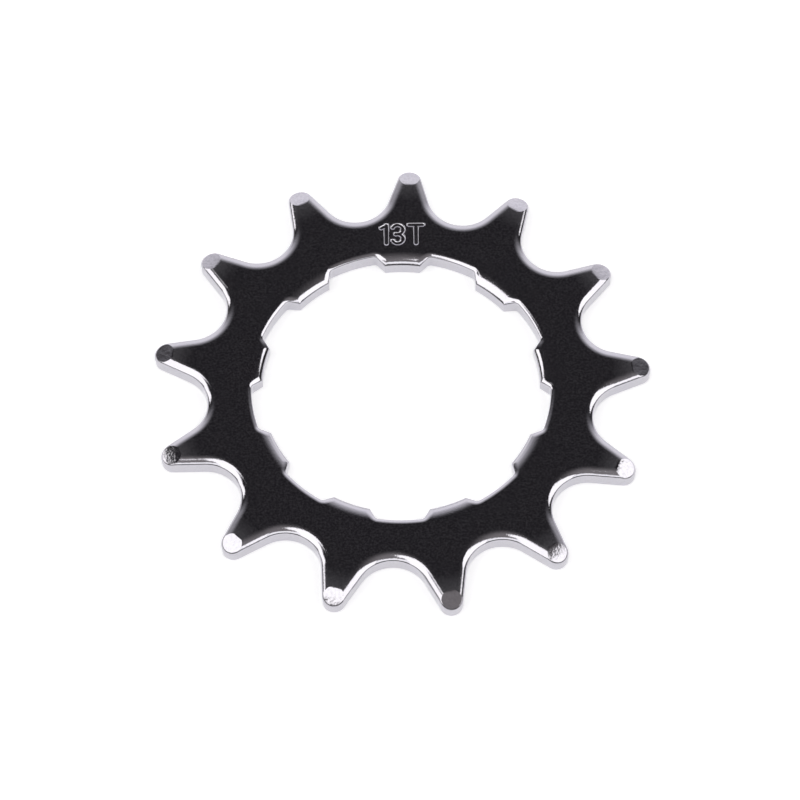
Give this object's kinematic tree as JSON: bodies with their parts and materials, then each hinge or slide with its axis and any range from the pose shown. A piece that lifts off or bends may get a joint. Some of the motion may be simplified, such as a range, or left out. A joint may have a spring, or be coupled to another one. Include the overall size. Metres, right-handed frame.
{
  "type": "single speed cog",
  "caption": "Flat ring-shaped bicycle cog of bright plated steel, with rounded chain teeth outside, bevelled tooth tips, rolled upper edges and spline tabs inside the bore.",
  "frame": {"origin": "on the bore axis, level with the flat underside", "axes": "+Z along the bore axis from the flat underside to the rolled upper face; +Y through the middle of the tooth next to the narrow spline tab"},
  "size_m": [0.0582, 0.0578, 0.0022],
  "materials": {
    "chrome_plate": "bright plated, tumbled before plating, with a fine grain on the flat face"
  },
  "bodies": {
    "root": {"cog": "chrome_plate"}
  },
  "joints": []
}
